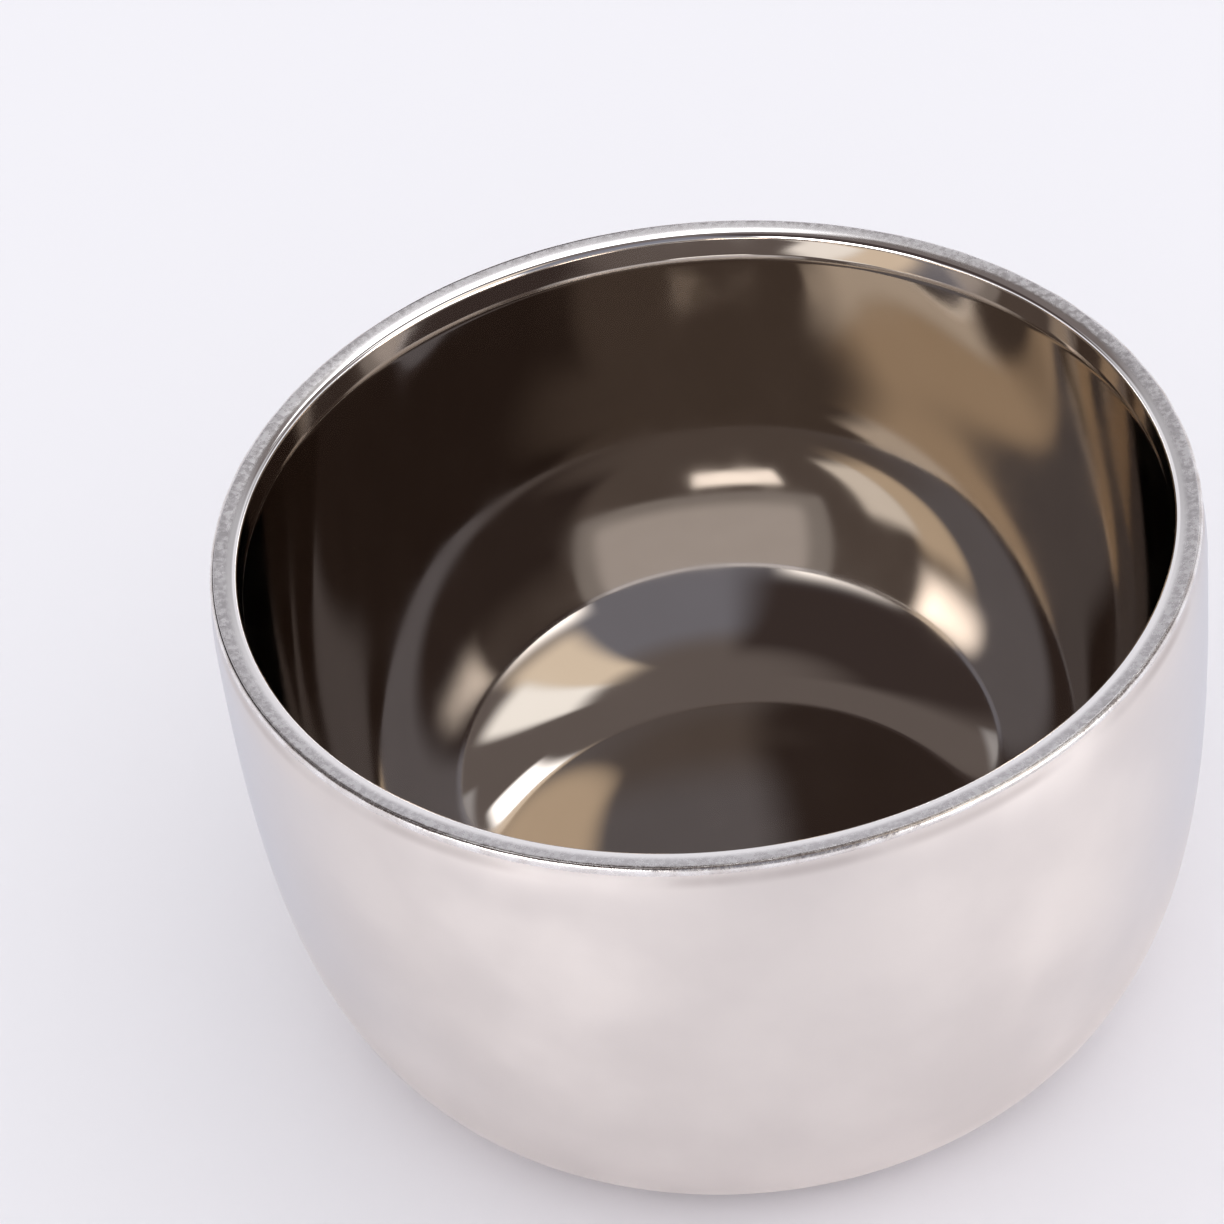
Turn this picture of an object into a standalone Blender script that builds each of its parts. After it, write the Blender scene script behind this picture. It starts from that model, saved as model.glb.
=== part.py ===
"""Double-walled stainless steel shaving mug: an outer shell, an inner bowl and the weld that joins their rims.

The mug stands on Z = 0 with its axis along +Z. Lengths are in metres. Every piece is turned about the axis, so each
is drawn as a list of (radius, height) points and swept by a Screw modifier.
"""

import math

import bmesh
import bpy

# Driving dimensions
HEIGHT = 0.0575
SHEET = 0.0006
CLEARANCE = 0.0003
TURN_STEPS = 64
MERGE_DISTANCE = 0.00001

# Outer shell
BODY_RADIUS = 0.0495
BODY_DROP = 0.005
COLLAR_RADIUS = 0.0490
FOOT_OUTER_RADIUS = 0.0304
FOOT_INNER_RADIUS = 0.0262
RECESS_RADIUS = 0.0245
RECESS_DEPTH = 0.0012
SHELL_POWER = 2.9

# Weld
WELD_HEIGHT = 0.0007
WELD_WIDTH = 0.0005
WELD_DROP = 0.00015

# Inner bowl
LIP_OUTER_RADIUS = 0.0482
LIP_ROLL_RADIUS = 0.0015
NECK_RADIUS = 0.0464
CREASE_RADIUS = 0.0462
CREASE_DROP = 0.0032
WELL_FLOOR_RADIUS = 0.020
WELL_FLOOR_HEIGHT = 0.0075
WELL_POWER = 2.5

# Sheet and weld finishes: colour, roughness
SATIN_STEEL = ((0.70, 0.68, 0.67), 0.38)
MIRROR_STEEL = ((0.74, 0.71, 0.68), 0.07)
GROUND_WELD = ((0.62, 0.60, 0.58), 0.50)

QUARTER_TURN = math.pi / 2


def clear_scene():
    for thing in list(bpy.data.objects):
        bpy.data.objects.remove(thing, do_unlink=True)


def steel(name, finish):
    """A metal material from its colour and roughness."""
    colour, roughness = finish
    material = bpy.data.materials.new(name)
    material.use_nodes = True
    shader = material.node_tree.nodes["Principled BSDF"]
    shader.inputs["Base Color"].default_value = (*colour, 1)
    shader.inputs["Metallic"].default_value = 1
    shader.inputs["Roughness"].default_value = roughness
    return material


def arc(centre, radius, start, end, steps):
    """Points along a circle about centre, from the angle start to the angle end, both ends included."""
    points = []
    for step in range(steps + 1):
        angle = start + (end - start) * step / steps
        points.append((centre[0] + radius * math.cos(angle), centre[1] + radius * math.sin(angle)))
    return points


def rounded_side(wall, floor, power, steps):
    """A superellipse quarter from the wall point, where it is upright, to the floor point, where it is level."""
    points = []
    for step in range(steps + 1):
        angle = QUARTER_TURN * step / steps
        across = math.cos(angle) ** (2 / power)
        down = math.sin(angle) ** (2 / power)
        points.append((floor[0] + (wall[0] - floor[0]) * across, wall[1] - (wall[1] - floor[1]) * down))
    return points


def turned(name, outline, closed, material, collection):
    """An object swept round the Z axis from an outline that runs down its outer side."""
    mesh = bpy.data.meshes.new(name)
    shape = bmesh.new()
    corners = [shape.verts.new((radius, 0, height)) for radius, height in outline]
    for first, second in zip(corners, corners[1:]):
        shape.edges.new((first, second))
    if closed:
        shape.edges.new((corners[-1], corners[0]))
    shape.to_mesh(mesh)
    shape.free()

    piece = bpy.data.objects.new(name, mesh)
    collection.objects.link(piece)
    mesh.materials.append(material)
    screw = piece.modifiers.new("Turn", "SCREW")
    screw.axis = "Z"
    screw.angle = 2 * math.pi
    screw.steps = TURN_STEPS
    screw.render_steps = TURN_STEPS
    screw.use_merge_vertices = True
    screw.merge_threshold = MERGE_DISTANCE
    screw.use_smooth_shade = True
    return piece


def thicken(piece, offset):
    """Gives a swept surface the thickness of the sheet: -1 builds inwards from it, 1 outwards."""
    solid = piece.modifiers.new("Sheet", "SOLIDIFY")
    solid.thickness = SHEET
    solid.offset = offset
    solid.use_even_offset = True


def build_outer_shell(collection):
    """The satin pressing: a collar, a steep wall, a strongly rounded lower body, and a foot ring round a recess."""
    rise = BODY_DROP - WELD_DROP - WELD_HEIGHT - CLEARANCE
    inset = BODY_RADIUS - COLLAR_RADIUS
    bend_radius = (rise**2 + inset**2) / (2 * inset)
    wall = (BODY_RADIUS, HEIGHT - BODY_DROP)
    bend_centre = (BODY_RADIUS - bend_radius, HEIGHT - BODY_DROP)
    outline = arc(bend_centre, bend_radius, math.asin(rise / bend_radius), 0, 3)[:-1]
    outline += rounded_side(wall, (FOOT_OUTER_RADIUS, 0), SHELL_POWER, 16)
    outline += [(FOOT_INNER_RADIUS, 0), (RECESS_RADIUS, RECESS_DEPTH), (0, RECESS_DEPTH)]
    piece = turned("outer_shell", outline, False, steel("satin_steel", SATIN_STEEL), collection)
    thicken(piece, -1)


def build_inner_bowl(collection):
    """The polished pressing: a rolled lip, a short neck with a crease below it, and a rounded well."""
    roll_centre = (NECK_RADIUS + LIP_ROLL_RADIUS, HEIGHT - LIP_ROLL_RADIUS)
    crease = (CREASE_RADIUS, HEIGHT - CREASE_DROP)
    outline = [(LIP_OUTER_RADIUS, HEIGHT)]
    outline += arc(roll_centre, LIP_ROLL_RADIUS, QUARTER_TURN, math.pi, 5)
    outline += rounded_side(crease, (WELL_FLOOR_RADIUS, WELL_FLOOR_HEIGHT), WELL_POWER, 14)
    outline.append((0, WELL_FLOOR_HEIGHT))
    piece = turned("inner_bowl", outline, False, steel("mirror_steel", MIRROR_STEEL), collection)
    thicken(piece, 1)


def build_rim_weld(collection):
    """The ground bead that fills the corner between the lip and the outer shell's top edge."""
    top = HEIGHT - WELD_DROP
    inner = LIP_OUTER_RADIUS + CLEARANCE
    outer = inner + WELD_WIDTH
    shoulder = WELD_WIDTH / 2
    outline = arc((inner + shoulder, top - shoulder), shoulder, QUARTER_TURN, 0, 3)
    outline += [(outer, top - WELD_HEIGHT), (inner, top - WELD_HEIGHT), (inner, top)]
    turned("rim_weld", outline, True, steel("ground_weld", GROUND_WELD), collection)


def main():
    clear_scene()
    collection = bpy.data.collections.new("shaving_mug")
    bpy.context.scene.collection.children.link(collection)
    build_outer_shell(collection)
    build_inner_bowl(collection)
    build_rim_weld(collection)


main()
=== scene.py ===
"""The looks of a double-walled stainless steel shaving mug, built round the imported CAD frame.

A fine turned skin replaces each of the three CAD solids: the satin outer shell, the polished inner bowl and
the ground weld between their rims. Every finish is made of nodes. Lengths are in metres and the mug's axis
is +Z.
"""

import math

import bpy
import numpy as np
from mathutils import Matrix, Vector, noise


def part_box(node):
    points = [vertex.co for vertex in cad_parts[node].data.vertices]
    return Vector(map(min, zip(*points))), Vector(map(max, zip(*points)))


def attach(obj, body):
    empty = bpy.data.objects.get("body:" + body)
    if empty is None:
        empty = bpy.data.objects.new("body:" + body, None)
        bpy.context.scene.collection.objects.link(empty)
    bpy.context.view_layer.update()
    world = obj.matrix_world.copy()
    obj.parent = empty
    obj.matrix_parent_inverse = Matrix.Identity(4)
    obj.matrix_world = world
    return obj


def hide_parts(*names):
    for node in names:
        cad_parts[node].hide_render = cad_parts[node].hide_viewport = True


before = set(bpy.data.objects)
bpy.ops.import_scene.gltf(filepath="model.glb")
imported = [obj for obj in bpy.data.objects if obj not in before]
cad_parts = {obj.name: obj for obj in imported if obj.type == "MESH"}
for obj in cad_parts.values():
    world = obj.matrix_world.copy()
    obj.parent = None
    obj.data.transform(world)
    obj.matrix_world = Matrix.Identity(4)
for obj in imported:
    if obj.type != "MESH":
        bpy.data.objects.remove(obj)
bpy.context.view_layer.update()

# Places read from the frame
SHELL_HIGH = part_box("outer_shell")[1]
BOWL_LOW, BOWL_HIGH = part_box("inner_bowl")
HEIGHT = BOWL_HIGH.z
BODY_RADIUS = SHELL_HIGH.x
COLLAR_TOP = SHELL_HIGH.z

# Sheet sizes, the same as the CAD's
SHEET = 0.0006
COLLAR_RADIUS = 0.0490
BODY_DROP = 0.005
SHELL_POWER = 2.9
FOOT_OUTER_RADIUS = 0.0304
FOOT_INNER_RADIUS = 0.0262
RECESS_RADIUS = 0.0245
RECESS_DEPTH = 0.0012
NECK_RADIUS = 0.0464
CREASE_RADIUS = 0.0462
CREASE_DROP = 0.0032
WELL_FLOOR_RADIUS = 0.020
WELL_FLOOR_HEIGHT = BOWL_LOW.z + SHEET
WELL_POWER = 2.5

# The lip of the inner bowl, from its land to the crease
LAND_RADIUS = 0.04860
LAND_CROWN_RADIUS = 0.0188
LAND_LEAN = math.radians(4)
LAND_END_LEAN = math.radians(9.2)
EDGE_ROUNDING = 0.00016
CREASE_LEAD = 0.0004
CREASE_STEP = 0.00006

# The weld bead, the collar that reaches into it, and the seam between the bead and the land. The seam opens
# and fills in stretches about as long as SEAM_LENGTH.
SEAM_WIDTH = 0.00024
SEAM_OVERFILL = 1.04
SEAM_LENGTH = 0.05
SEAM_SWING = 1.5
SEAM_START = Vector((0, 0, 58))
BEAD_WIDTH = 0.00024
BEAD_HEIGHT = 0.00055
BEAD_DROP = 0.00003
BEAD_TOE = 0.0003
TOE_STEP = 0.00001
COLLAR_LIFT = 0.0005
RIPPLE_LENGTH = 0.0022
RIPPLE_DEPTH = 0.00004
RIPPLE_RISE = 0.6
FINE_RIPPLE = 0.4

# Waviness left by pressing and polishing: how high and how far across. The seed makes every run the same.
SHELL_WAVES = (0.00003, 0.025)
BOWL_WAVES = (0.00004, 0.02)
WAVE_SEED = 1

# How finely the skins are cut
SKIN_STEPS = 320
WELD_STEPS = 960
WALL_GAP = 0.0006
FINE_GAP = 0.00015
HIDDEN_GAP = 0.003
SIDE_POINTS = 400
CORNER_PASSES = 6
SHARP_ANGLE = math.radians(40)

# Colours of the steel. A pair gives the two that it varies between.
WARM_STEEL = ((0.745, 0.690, 0.660, 1), (0.805, 0.750, 0.718, 1))
# A cool colour on glancing edges up the wall: a painted reflection of the cool surroundings
PAINTED_EDGE_REFLECTION = (0.675, 0.675, 0.715, 1)
# A darker colour in patches just under the weld: painted shade under the bead
PAINTED_SHADE_UNDER_WELD = (0.60, 0.545, 0.52, 1)
# Darker and browner than the steel itself: painted shade and a painted brown reflection in the well
PAINTED_SHADE_WELL_STEEL = ((0.60, 0.545, 0.49, 1), (0.66, 0.605, 0.55, 1))
# A much lighter copy of the polished steel for the neck: a painted highlight
PAINTED_HIGHLIGHT_STEEL = (0.95, 0.93, 0.92, 1)
LAND_STEEL = ((0.58, 0.56, 0.565, 1), (0.72, 0.705, 0.71, 1))
# The weld's uneven tone, light enough that its colour is a painted highlight along the bead
WELD_TONE_AND_HIGHLIGHT = ((0.70, 0.65, 0.62, 1), (0.94, 0.92, 0.91, 1))

# Its roughness, from the smoothest spots to the roughest. The land and the crease add theirs to the polish.
SATIN_ROUGHNESS = (0.30, 0.40)
SATIN_LINE_ROUGHNESS = 0.06
POLISHED_ROUGHNESS = (0.035, 0.09)
LAND_ROUGHNESS = (0.15, 0.25)
CREASE_ROUGHNESS = 0.22
WELD_ROUGHNESS = (0.18, 0.34)

# How far the satin's highlights stretch, from 0 to 1, and which way, in whole turns
SATIN_STRETCH = 0.5
STRETCH_TURN = 0.25

# The noise behind its marks: one over the size of its features, and its detail
SATIN_CLOUDS = (70, 3)
SATIN_LINES = (1.0, 4)
SHADE_PATCHES = (50, 4)
WIPE_MARKS = (90, 3)
POLISHED_LINES = (1.0, 3)
LAND_SPECKLE = (1500, 3)
WELD_BLOTCHES = (350, 3)
WELD_SPECKLE = (3000, 2)
LATHE_LINES = 4000

# The stretch of that noise over which a mark comes in
USUAL_RANGE = (0.3, 0.7)
PATCH_RANGE = (0.38, 0.62)
WIPE_RANGE = (0.35, 0.7)
MOTTLE_RANGE = (0.36, 0.64)

# How far the surface turns away, 0 to 1, where the painted edge reflection starts and where it is full
PAINTED_REFLECTION_RANGE = (0.5, 1.0)

# Where the other marks lie, and how deep the relief is
RING_RATE = 2 * math.pi / 0.0009
RING_HEIGHT = 3.0
# The band under the weld that the painted shade fills
SHADE_BAND_TOP = 0.0007
SHADE_BAND_END = 0.0017
SHADE_BAND_SOFT = 0.0009
# Heights over which the painted edge reflection comes in
PAINTED_REFLECTION_HEIGHTS = (0.012, 0.035)
SATIN_RELIEF = 0.000004
LIP_HEIGHTS = (HEIGHT - 0.0007, HEIGHT - 0.0001)
LAND_START = (0.0471, 0.0478)
CREASE_LINE = 0.00012
FAINT_LINES = 0.05
POLISHED_RELIEF = 0.0000022
WELD_RELIEF = 0.000008

# Floor and lamps
FLOOR_SIZE = 3
FLOOR_COLOUR = (0.80, 0.79, 0.84, 1)
FLOOR_ROUGHNESS = 0.8
FLOOR_SHINE = 0.2
KEY_STRENGTH = 3.42
KEY_SPREAD = math.radians(150)
KEY_LEAN = (math.radians(4), math.radians(16), 0)
FILL_STRENGTH = 0.28

# What the steel mirrors: a pale horizon, a dim warm room above it, and panels. Each panel has the
# azimuth of its middle (0 is +X and 90 is the back), its half width, its lowest and highest elevation, its
# soft edge, all in degrees, and its colour. Where two overlap, the later one shows.
HORIZON = (0.88, 0.87, 0.92, 1)
ROOM = (0.17, 0.145, 0.14, 1)
HORIZON_TOP = (10, 24)
PANELS = [
    ("back_wall", 90, 62, 10, 44, 2, (0.46, 0.45, 0.47, 1)),
    ("back_screen", 90, 50, 12, 37, 4, (0.80, 0.79, 0.83, 1)),
    ("back_light", 68, 23, 49, 60, 2, (2.6, 2.6, 2.65, 1)),
    ("front_dusk", -90, 50, 18, 64, 10, (0.22, 0.22, 0.26, 1)),
    ("front_gap", -85, 28, -4, 16, 8, (0.30, 0.29, 0.30, 1)),
    ("front_left_light", -132, 15, 4, 26, 8, (9.0, 8.8, 8.7, 1)),
    ("front_right_light", -35, 15, 4, 26, 8, (7.5, 7.3, 7.2, 1)),
    ("right_wall", -33, 13, 34, 70, 6, (1.00, 0.86, 0.70, 1)),
    ("right_light", -8, 13, 40, 68, 4, (1.35, 1.33, 1.31, 1)),
    ("left_dark", -155, 50, 26, 76, 10, (0.058, 0.043, 0.041, 1)),
]

# Camera: where it looks, how high it stands and how it leans
CAMERA_TARGET = Vector((-0.0100, 0, 0.0467))
CAMERA_DISTANCE = 0.45
CAMERA_ELEVATION = math.radians(41.3)
CAMERA_ROLL = math.radians(7.34)
FIELD_OF_VIEW = math.radians(15.54)
SENSOR = 36

QUARTER_TURN = math.pi / 2


# Outlines: lists of (radius, height) points


def arc(centre, radius, start, end, steps):
    """Points along a circle about centre, from the angle start to the angle end, both ends included."""
    angles = np.linspace(start, end, steps + 1)
    return [(centre[0] + radius * math.cos(a), centre[1] + radius * math.sin(a)) for a in angles]


def rounded_side(wall, floor, power, steps):
    """A superellipse quarter from the wall point, where it is upright, to the level floor point."""
    points = []
    for angle in np.linspace(0, QUARTER_TURN, steps + 1):
        across = max(math.cos(angle), 0) ** (2 / power)
        down = math.sin(angle) ** (2 / power)
        points.append((floor[0] + (wall[0] - floor[0]) * across, wall[1] - (wall[1] - floor[1]) * down))
    return points


def spaced(points, gap):
    """The same line with its points about gap apart, both ends kept."""
    line = np.array(points)
    along = np.concatenate([[0], np.cumsum(np.linalg.norm(np.diff(line, axis=0), axis=1))])
    places = np.linspace(0, along[-1], max(2, math.ceil(along[-1] / gap) + 1))
    radii = np.interp(places, along, line[:, 0])
    heights = np.interp(places, along, line[:, 1])
    return list(zip(radii, heights))


def joined(*stretches):
    """One line from stretches that each start where the one before ended."""
    line = list(stretches[0])
    for stretch in stretches[1:]:
        line += stretch[1:]
    return line


def shifted(points, distance):
    """The line moved sideways: to the left of its running direction for a positive distance."""
    line = np.array(points)
    run = np.gradient(line, axis=0)
    run /= np.linalg.norm(run, axis=1)[:, None]
    moved = line + distance * np.stack([-run[:, 1], run[:, 0]], axis=1)
    moved[:, 0] = np.maximum(moved[:, 0], 0)
    return [tuple(point) for point in moved]


def rounded_corners(points):
    """The line with its corners softened over a few points, ends kept."""
    line = np.array(points)
    for _ in range(CORNER_PASSES):
        line[1:-1] = 0.25 * line[:-2] + 0.5 * line[1:-1] + 0.25 * line[2:]
    return [tuple(point) for point in line]


# Meshes


def turned(name, outline, steps, closed):
    """An object swept round the Z axis from an outline that runs down its outer side. A point on the axis
    becomes a pole."""
    points = []
    rings = []
    for radius, height in outline:
        first = len(points)
        count = steps if radius > 0 else 1
        for step in range(count):
            angle = 2 * math.pi * step / steps
            points.append((radius * math.cos(angle), radius * math.sin(angle), height))
        rings.append([first + step % count for step in range(steps + 1)])
        rings[-1][steps] = first
    if closed:
        rings.append(rings[0])
    faces = []
    for upper, lower in zip(rings, rings[1:]):
        for step in range(steps):
            corners = (upper[step], lower[step], lower[step + 1], upper[step + 1])
            faces.append(tuple(dict.fromkeys(corners)))
    mesh = bpy.data.meshes.new(name)
    mesh.from_pydata(points, [], faces)
    mesh.shade_smooth()
    mesh.set_sharp_from_angle(angle=SHARP_ANGLE)
    piece = bpy.data.objects.new(name, mesh)
    bpy.context.scene.collection.objects.link(piece)
    return piece


def warp(piece, waves):
    """Moves the surface by smooth noise. waves gives the height of the waves and how far across they are."""
    amount, size = waves
    for vertex in piece.data.vertices:
        vertex.co += amount * noise.noise_vector(vertex.co / size)


def finish_piece(piece, node, material):
    """Gives a piece its material and its body, and hides the CAD node that it stands for."""
    piece.data.materials.append(material)
    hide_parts(node)
    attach(piece, "root")


def build_outer_shell(material):
    """The satin pressing, from its collar inside the weld down to the foot ring and the recess inside it. The
    collar reaches a little higher than the CAD's, into the skin of the weld."""
    rise = BODY_DROP - (HEIGHT - COLLAR_TOP)
    inset = BODY_RADIUS - COLLAR_RADIUS
    bend_radius = (rise**2 + inset**2) / (2 * inset)
    bend_centre = (BODY_RADIUS - bend_radius, HEIGHT - BODY_DROP)
    bend = arc(bend_centre, bend_radius, math.asin(rise / bend_radius), 0, steps=12)
    side = rounded_side((BODY_RADIUS, HEIGHT - BODY_DROP), (FOOT_OUTER_RADIUS, 0), SHELL_POWER, SIDE_POINTS)
    foot = [(FOOT_OUTER_RADIUS, 0), (FOOT_INNER_RADIUS, 0)]
    slope = [(FOOT_INNER_RADIUS, 0), (RECESS_RADIUS, RECESS_DEPTH)]
    recess = [(RECESS_RADIUS, RECESS_DEPTH), (0, RECESS_DEPTH)]
    collar = [(COLLAR_RADIUS, COLLAR_TOP + COLLAR_LIFT), (COLLAR_RADIUS, COLLAR_TOP)]
    line = joined(
        spaced(collar, FINE_GAP),
        spaced(bend, WALL_GAP),
        spaced(side, WALL_GAP),
        spaced(foot, WALL_GAP),
        spaced(slope, FINE_GAP),
        spaced(recess, WALL_GAP),
    )
    outside = rounded_corners(line)
    inside = shifted(spaced(outside, HIDDEN_GAP), -SHEET)
    piece = turned("satin_shell", inside[::-1] + outside, SKIN_STEPS, False)
    warp(piece, SHELL_WAVES)
    finish_piece(piece, "outer_shell", material)


def build_inner_bowl(material):
    """The polished pressing: a crowned land leaning inwards, a rolled lip, a neck, a crease and the well."""
    crown_centre = (
        LAND_RADIUS + LAND_CROWN_RADIUS * math.sin(LAND_LEAN),
        HEIGHT - LAND_CROWN_RADIUS * math.cos(LAND_LEAN),
    )
    land_end = QUARTER_TURN + LAND_END_LEAN
    crown = arc(crown_centre, LAND_CROWN_RADIUS, QUARTER_TURN + LAND_LEAN, land_end, steps=16)
    roll_radius = (crown[-1][0] - NECK_RADIUS) / (1 - math.sin(LAND_END_LEAN))
    roll_centre = (NECK_RADIUS + roll_radius, crown[-1][1] - roll_radius * math.cos(LAND_END_LEAN))
    roll = arc(roll_centre, roll_radius, land_end, math.pi, steps=20)
    edge_centre = (LAND_RADIUS, HEIGHT - EDGE_ROUNDING)
    edge = arc(edge_centre, EDGE_ROUNDING, 0, QUARTER_TURN, steps=6)
    crease = (CREASE_RADIUS, HEIGHT - CREASE_DROP)
    lead = [(CREASE_RADIUS + CREASE_STEP, crease[1] + CREASE_LEAD), crease]
    well = rounded_side(crease, (WELL_FLOOR_RADIUS, WELL_FLOOR_HEIGHT), WELL_POWER, SIDE_POINTS)
    floor = [(WELL_FLOOR_RADIUS, WELL_FLOOR_HEIGHT), (0, WELL_FLOOR_HEIGHT)]
    inside = joined(
        edge,
        crown,
        roll,
        spaced([roll[-1], lead[0]], FINE_GAP),
        spaced(lead, FINE_GAP / 2),
        spaced(well, WALL_GAP),
        spaced(floor, WALL_GAP),
    )
    outside = shifted(spaced(inside, HIDDEN_GAP), SHEET)
    piece = turned("polished_bowl", (outside[::-1] + inside)[::-1], SKIN_STEPS, False)
    warp(piece, BOWL_WAVES)
    finish_piece(piece, "inner_bowl", material)


def clamped(value):
    """The value kept between 0 and 1."""
    return min(max(value, 0), 1)


def build_rim_weld(material):
    """The ground bead in the corner outside the lip, dressed down onto the collar. It is uneven, as hand work
    is, and leaves more of a seam beside the lip in some places than in others."""
    inner = LAND_RADIUS + SEAM_WIDTH
    outer = inner + BEAD_WIDTH
    foot = HEIGHT - BEAD_HEIGHT
    crown = [
        (inner + BEAD_WIDTH * math.cos(angle), foot + (BEAD_HEIGHT - BEAD_DROP) * math.sin(angle))
        for angle in np.linspace(QUARTER_TURN, 0, 13)
    ]
    toe = (COLLAR_RADIUS + TOE_STEP, COLLAR_TOP + COLLAR_LIFT - BEAD_TOE)
    outline = joined(
        crown,
        spaced([crown[-1], toe], FINE_GAP),
        [toe, (inner, toe[1])],
        spaced([(inner, toe[1]), crown[0]], FINE_GAP),
    )[:-1]
    piece = turned("weld_bead", outline, WELD_STEPS, True)
    for vertex in piece.data.vertices:
        rise = clamped((vertex.co.z - toe[1]) / (HEIGHT - toe[1]))
        coarse = noise.noise(vertex.co / RIPPLE_LENGTH)
        ripple = coarse + 0.5 * noise.noise(vertex.co / (FINE_RIPPLE * RIPPLE_LENGTH))
        outward = Vector((vertex.co.x, vertex.co.y, 0)).normalized()
        reach = clamped((outer - vertex.co.xy.length) / BEAD_WIDTH)
        filled = clamped(0.5 + SEAM_SWING * noise.noise(vertex.co / SEAM_LENGTH + SEAM_START))
        vertex.co += RIPPLE_DEPTH * ripple * rise * (1 - reach) * (outward + Vector((0, 0, RIPPLE_RISE)))
        vertex.co -= SEAM_WIDTH * SEAM_OVERFILL * filled * reach * outward
    finish_piece(piece, "rim_weld", material)


# Node trees


def add(tree, kind, inputs=(), **settings):
    """A new node. inputs maps a socket's name or number to a value or to another node's output."""
    node = tree.nodes.new(kind)
    for key, value in settings.items():
        setattr(node, key, value)
    for socket, value in dict(inputs).items():
        if isinstance(value, bpy.types.NodeSocket):
            tree.links.new(value, node.inputs[socket])
        else:
            node.inputs[socket].default_value = value
    return node


def number(tree, operation, first, second=0.0, third=0.0):
    """The output of one Math node."""
    return add(tree, "ShaderNodeMath", {0: first, 1: second, 2: third}, operation=operation).outputs[0]


def vector(tree, operation, first, second=(0, 0, 0)):
    """The output of one Vector Math node."""
    node = add(tree, "ShaderNodeVectorMath", {0: first, 1: second}, operation=operation)
    return node.outputs["Value" if operation in ("DOT_PRODUCT", "LENGTH") else "Vector"]


def eased(tree, value, start, end, low=0.0, high=1.0):
    """The value eased from low, at start, to high, at end."""
    inputs = {"Value": value, "From Min": start, "From Max": end, "To Min": low, "To Max": high}
    return add(tree, "ShaderNodeMapRange", inputs, interpolation_type="SMOOTHSTEP").outputs[0]


def mixed(tree, share, first, second):
    """The first colour where share is 0 and the second where it is 1."""
    return add(tree, "ShaderNodeMix", {0: share, 6: first, 7: second}, data_type="RGBA").outputs[2]


def grain(tree, where, scale, detail):
    """Noise of about 0.2 to 0.8, with features 1 / scale across."""
    return add(tree, "ShaderNodeTexNoise", {"Vector": where, "Scale": scale, "Detail": detail}).outputs[0]


def metal(name):
    """A new metal, with its node tree and the point of the surface that its nodes start from."""
    material = bpy.data.materials.new(name)
    material.use_nodes = True
    tree = material.node_tree
    return material, tree, add(tree, "ShaderNodeTexCoord").outputs["Object"]


def turned_places(tree, point):
    """The point's radius, its height, and the point stretched round the axis, on which noise turns into fine
    lathe lines."""
    x, y, height = add(tree, "ShaderNodeSeparateXYZ", {0: point}).outputs
    flat = add(tree, "ShaderNodeCombineXYZ", {0: x, 1: y}).outputs[0]
    radius = vector(tree, "LENGTH", flat)
    turn = vector(tree, "NORMALIZE", flat)
    across, along, _ = add(tree, "ShaderNodeSeparateXYZ", {0: turn}).outputs
    profile = number(tree, "MULTIPLY", number(tree, "ADD", radius, height), LATHE_LINES)
    lathe = add(tree, "ShaderNodeCombineXYZ", {0: across, 1: along, 2: profile}).outputs[0]
    return radius, height, lathe


def shade(tree, colour, roughness, bump, depth):
    """Sets the metal's colour, its roughness and its relief, bump times depth, and returns its shader."""
    shader = tree.nodes["Principled BSDF"]
    shader.inputs["Metallic"].default_value = 1
    relief = add(tree, "ShaderNodeBump", {"Strength": 1.0, "Distance": depth, "Height": bump})
    tree.links.new(colour, shader.inputs["Base Color"])
    tree.links.new(roughness, shader.inputs["Roughness"])
    tree.links.new(relief.outputs[0], shader.inputs["Normal"])
    return shader


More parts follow.
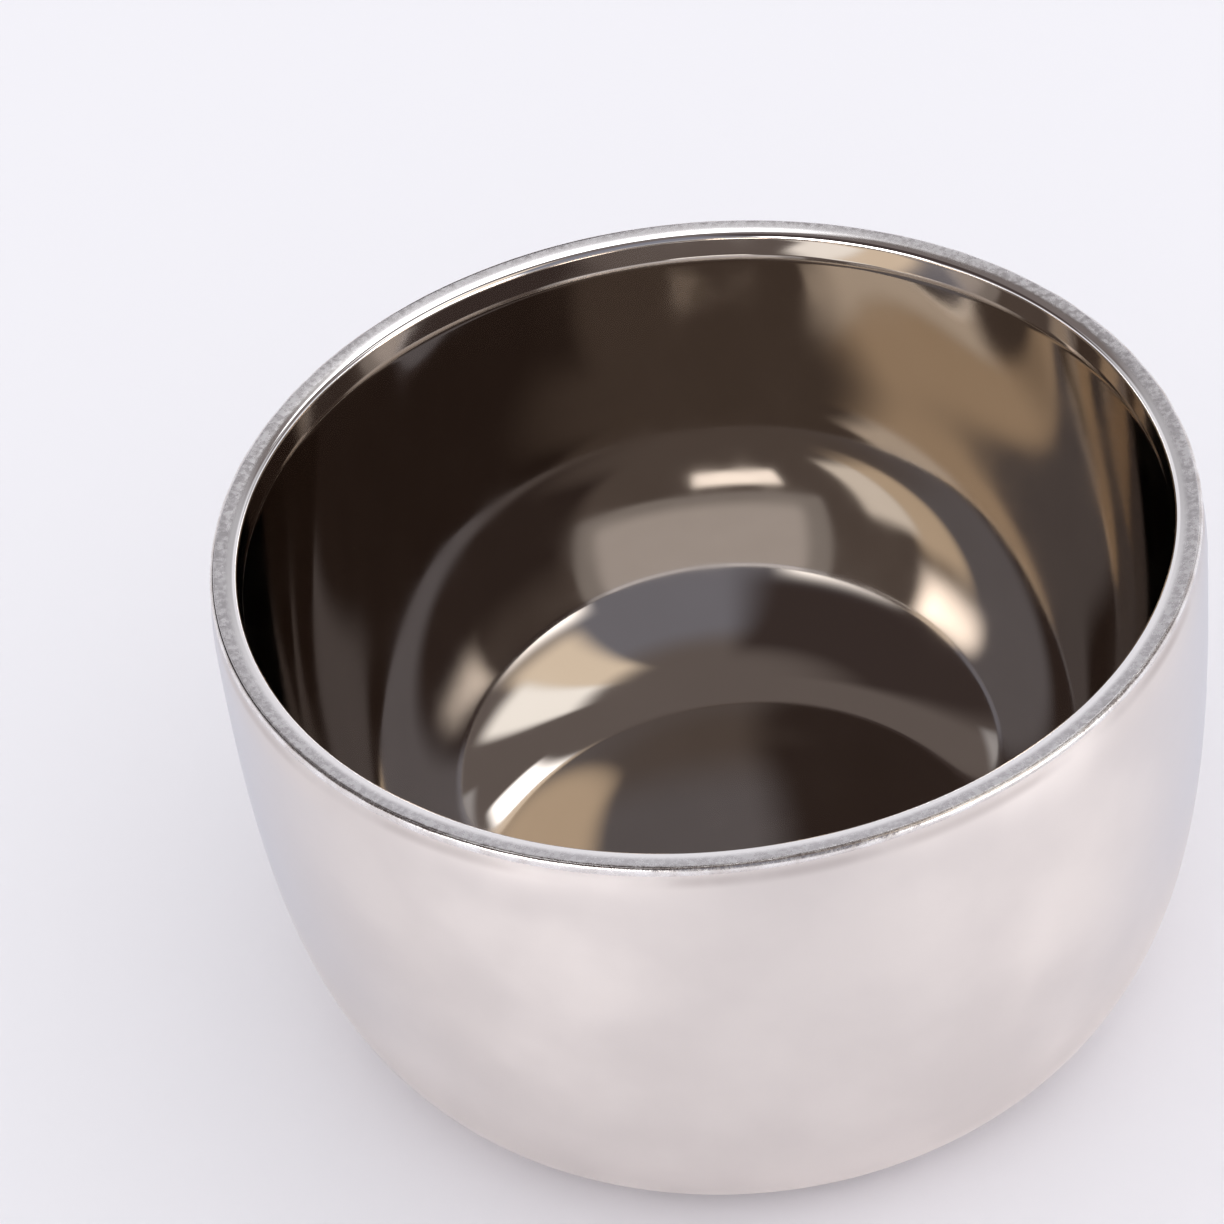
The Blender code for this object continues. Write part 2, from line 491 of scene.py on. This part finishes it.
def satin_steel():
    """Outer shell: soft satin with fine lines round it, cloudy handling marks, painted shade in patches just
    under the weld, a painted cool reflection on glancing edges, and spin rings underneath."""
    material, tree, point = metal("satin_steel")
    radius, height, lathe = turned_places(tree, point)
    cloud = grain(tree, point, *SATIN_CLOUDS)
    lines = grain(tree, lathe, *SATIN_LINES)
    warm = mixed(tree, eased(tree, cloud, *USUAL_RANGE), *WARM_STEEL)
    # Painted reflection: a cooler colour on glancing edges, none of it near the bottom of the wall
    facing = add(tree, "ShaderNodeLayerWeight", {"Blend": 0.5}).outputs["Facing"]
    upper = eased(tree, height, *PAINTED_REFLECTION_HEIGHTS)
    painted_reflection_share = number(tree, "MULTIPLY", eased(tree, facing, *PAINTED_REFLECTION_RANGE), upper)
    colour_with_painted_reflection = mixed(tree, painted_reflection_share, warm, PAINTED_EDGE_REFLECTION)
    # Painted shade: a darker colour in patches, in a band just under the weld
    shade_band_top = eased(tree, height, HEIGHT - SHADE_BAND_TOP, HEIGHT - SHADE_BAND_TOP - SHADE_BAND_SOFT)
    shade_band_end = eased(tree, height, HEIGHT - SHADE_BAND_END - SHADE_BAND_SOFT, HEIGHT - SHADE_BAND_END)
    patches = eased(tree, grain(tree, point, *SHADE_PATCHES), *PATCH_RANGE)
    painted_shade_share = number(tree, "MULTIPLY", number(tree, "MULTIPLY", shade_band_top, shade_band_end), patches)
    colour = mixed(tree, painted_shade_share, colour_with_painted_reflection, PAINTED_SHADE_UNDER_WELD)
    below = eased(tree, height, RECESS_DEPTH * 2, RECESS_DEPTH)
    wave = number(tree, "SINE", number(tree, "MULTIPLY", radius, RING_RATE))
    rings = number(tree, "MULTIPLY", wave, below)
    haze = eased(tree, cloud, *USUAL_RANGE, *SATIN_ROUGHNESS)
    roughness = number(tree, "MULTIPLY_ADD", lines, SATIN_LINE_ROUGHNESS, haze)
    relief = number(tree, "MULTIPLY_ADD", rings, RING_HEIGHT, lines)
    shader = shade(tree, colour, roughness, relief, SATIN_RELIEF)
    shader.inputs["Anisotropic"].default_value = SATIN_STRETCH
    tangent = add(tree, "ShaderNodeTangent", direction_type="RADIAL", axis="Z")
    tree.links.new(tangent.outputs[0], shader.inputs["Tangent"])
    shader.inputs["Anisotropic Rotation"].default_value = STRETCH_TURN
    return material


def mirror_steel():
    """Inner bowl: polished, with faint wipe marks, painted shade and a brown painted reflection in the well,
    a painted highlight on the neck, dull along the crease, and left satin and mottled on the land of its lip."""
    material, tree, point = metal("mirror_steel")
    radius, height, lathe = turned_places(tree, point)
    cloud = grain(tree, point, *WIPE_MARKS)
    lines = grain(tree, lathe, *POLISHED_LINES)
    speckle = grain(tree, point, *LAND_SPECKLE)
    on_lip = eased(tree, height, *LIP_HEIGHTS)
    land = number(tree, "MULTIPLY", on_lip, eased(tree, radius, *LAND_START))
    # The well's colour holds painted shade and a painted brown reflection, varied by the wipe marks
    well = mixed(tree, cloud, *PAINTED_SHADE_WELL_STEEL)
    # Painted highlight: the neck, above the crease, takes the lighter steel
    neck = eased(tree, height, HEIGHT - CREASE_DROP, HEIGHT - CREASE_DROP + CREASE_LEAD)
    colour_with_painted_highlight = mixed(tree, neck, well, PAINTED_HIGHLIGHT_STEEL)
    ground = mixed(tree, eased(tree, speckle, *MOTTLE_RANGE), *LAND_STEEL)
    colour = mixed(tree, land, colour_with_painted_highlight, ground)
    polished = eased(tree, cloud, *WIPE_RANGE, *POLISHED_ROUGHNESS)
    dull = eased(tree, speckle, *USUAL_RANGE, *LAND_ROUGHNESS)
    from_crease = number(tree, "ABSOLUTE", number(tree, "SUBTRACT", height, HEIGHT - CREASE_DROP))
    unpolished = eased(tree, from_crease, 0, CREASE_LINE, CREASE_ROUGHNESS, 0)
    worn = number(tree, "MULTIPLY_ADD", land, dull, unpolished)
    roughness = number(tree, "ADD", polished, worn)
    mottle = number(tree, "MULTIPLY", speckle, land)
    relief = number(tree, "MULTIPLY_ADD", lines, FAINT_LINES, mottle)
    shade(tree, colour, roughness, relief, POLISHED_RELIEF)
    return material


def ground_weld():
    """Rim weld: hand-dressed, uneven, faintly browned by heat, and light enough to paint a highlight."""
    material, tree, point = metal("ground_weld")
    blotch = grain(tree, point, *WELD_BLOTCHES)
    speckle = grain(tree, point, *WELD_SPECKLE)
    colour = mixed(tree, eased(tree, blotch, *USUAL_RANGE), *WELD_TONE_AND_HIGHLIGHT)
    roughness = eased(tree, speckle, *USUAL_RANGE, *WELD_ROUGHNESS)
    shade(tree, colour, roughness, speckle, WELD_RELIEF)
    return material


# Stage


def build_floor():
    """The plain pale surface that the mug stands on."""
    mesh = bpy.data.meshes.new("floor")
    corners = [(-1, -1), (1, -1), (1, 1), (-1, 1)]
    mesh.from_pydata([(FLOOR_SIZE * x, FLOOR_SIZE * y, 0) for x, y in corners], [], [(0, 1, 2, 3)])
    floor = bpy.data.objects.new("floor", mesh)
    bpy.context.scene.collection.objects.link(floor)
    material = bpy.data.materials.new("pale_floor")
    material.use_nodes = True
    shader = material.node_tree.nodes["Principled BSDF"]
    shader.inputs["Base Color"].default_value = FLOOR_COLOUR
    shader.inputs["Roughness"].default_value = FLOOR_ROUGHNESS
    shader.inputs["Specular IOR Level"].default_value = FLOOR_SHINE
    mesh.materials.append(material)


def build_world():
    """The surroundings that the steel mirrors. They don't light the floor: the lamps do."""
    world = bpy.data.worlds.new("studio")
    world.use_nodes = True
    tree = world.node_tree
    direction = add(tree, "ShaderNodeTexCoord").outputs["Generated"]
    x, y, rise = add(tree, "ShaderNodeSeparateXYZ", {0: direction}).outputs
    turn = vector(tree, "NORMALIZE", add(tree, "ShaderNodeCombineXYZ", {0: x, 1: y}).outputs[0])
    low, high = (math.sin(math.radians(angle)) for angle in HORIZON_TOP)
    colour = mixed(tree, eased(tree, rise, low, high), HORIZON, ROOM)
    for _, azimuth, half_width, lowest, highest, soft, shine in PANELS:
        middle = (math.cos(math.radians(azimuth)), math.sin(math.radians(azimuth)), 0)
        facing = vector(tree, "DOT_PRODUCT", turn, middle)
        edges = [math.cos(math.radians(angle)) for angle in (half_width + soft, max(half_width - soft, 0))]
        share = eased(tree, facing, *edges)
        for edge, side in ((lowest, 1), (highest, -1)):
            outer, inner = (math.sin(math.radians(edge + side * shift)) for shift in (-soft, soft))
            share = number(tree, "MULTIPLY", share, eased(tree, rise, outer, inner))
        colour = mixed(tree, share, colour, shine)
    tree.links.new(colour, tree.nodes["Background"].inputs["Color"])
    bpy.context.scene.world = world
    world.cycles_visibility.diffuse = False


def build_light(name, strength, spread, lean, shadow):
    """A distant light that the floor sees and the steel does not: the steel mirrors the panels instead."""
    data = bpy.data.lights.new(name, "SUN")
    data.energy = strength
    data.angle = spread
    data.use_shadow = shadow
    light = bpy.data.objects.new(name, data)
    light.rotation_euler = lean
    light.visible_glossy = False
    bpy.context.scene.collection.objects.link(light)


def build_camera():
    """The camera, in front of the mug and above it, rolled a little about its line of sight."""
    back = Vector((0, -math.cos(CAMERA_ELEVATION), math.sin(CAMERA_ELEVATION)))
    right = Vector((1, 0, 0))
    up = back.cross(right)
    across = math.cos(CAMERA_ROLL) * right - math.sin(CAMERA_ROLL) * up
    above = math.sin(CAMERA_ROLL) * right + math.cos(CAMERA_ROLL) * up
    turn = Matrix((across, above, back)).transposed().to_4x4()
    data = bpy.data.cameras.new("camera")
    data.sensor_width = SENSOR
    data.lens = SENSOR / 2 / math.tan(FIELD_OF_VIEW / 2)
    camera = bpy.data.objects.new("camera", data)
    camera.matrix_world = Matrix.Translation(CAMERA_TARGET + CAMERA_DISTANCE * back) @ turn
    bpy.context.scene.collection.objects.link(camera)
    bpy.context.scene.camera = camera


noise.seed_set(WAVE_SEED)
build_outer_shell(satin_steel())
build_inner_bowl(mirror_steel())
build_rim_weld(ground_weld())
build_floor()
build_world()
build_light("key_light", KEY_STRENGTH, KEY_SPREAD, KEY_LEAN, True)
build_light("fill_light", FILL_STRENGTH, KEY_SPREAD, (0, 0, 0), False)
build_camera()
bpy.context.scene.view_settings.view_transform = "Standard"
